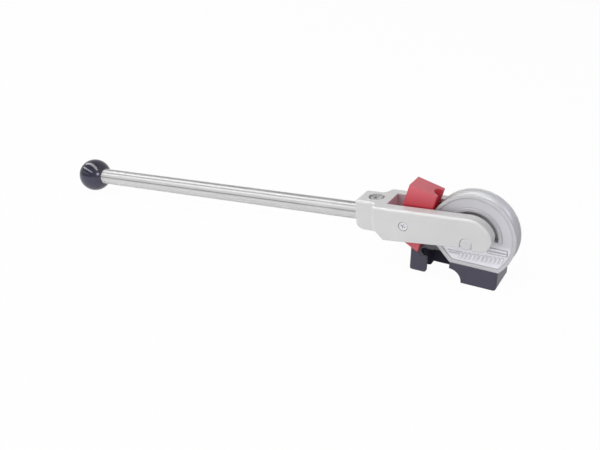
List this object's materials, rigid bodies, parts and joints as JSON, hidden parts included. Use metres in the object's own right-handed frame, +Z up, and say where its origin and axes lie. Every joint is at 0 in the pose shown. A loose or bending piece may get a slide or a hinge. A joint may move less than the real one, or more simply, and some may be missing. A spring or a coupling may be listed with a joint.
{
  "type": "lever tube bender",
  "caption": "Lever tube bender: grooved former on a black vice foot, forked lever with a red tilting shoe, bright tube handle and a black ball knob.",
  "frame": {"origin": "on the underside of the base, straight below the pivot, in the former's middle plane", "axes": "+X from the handle towards the former, +Y from the viewer through the former's thickness, +Z up"},
  "size_m": [0.539, 0.058, 0.0948],
  "materials": {
    "base_paint": "satin black",
    "former_metal": "cast, satin",
    "fork_paint": "satin grey",
    "bright_tube": "polished",
    "plain_steel": "machined",
    "dark_screw": "blackened",
    "knob_plastic": "gloss black",
    "bearing_brass": "machined",
    "shoe_paint": "satin red"
  },
  "bodies": {
    "stand": {"base": "base_paint", "former": "former_metal", "former_screw": "dark_screw", "former_dowels": "plain_steel", "pivot_pin": "plain_steel", "pivot_spacers": "plain_steel"},
    "lever": {"fork": "fork_paint", "handle_tube": "bright_tube", "handle_plug": "plain_steel", "clamp_screw": "dark_screw", "clamp_washer": "plain_steel", "knob_stud": "plain_steel", "ball_knob": "knob_plastic", "knob_insert": "bearing_brass", "shoe_pin": "plain_steel", "shoe_pin_washer": "plain_steel", "shoe_pin_nut": "plain_steel", "shoe_spacers": "plain_steel"},
    "shoe": {"shoe": "shoe_paint", "shoe_bush": "bearing_brass"}
  },
  "joints": [
    {"name": "lever_swing", "type": "hinge", "parent": "stand", "child": "lever", "pos_m": [0, 0, 0.05127], "axis": [0, 1, 0], "range_deg": [0, 185]},
    {"name": "shoe_tilt", "type": "hinge", "parent": "lever", "child": "shoe", "pos_m": [-0.06358, 0, 0.05541], "axis": [0, 1, 0], "range_deg": [-20, 0]}
  ]
}
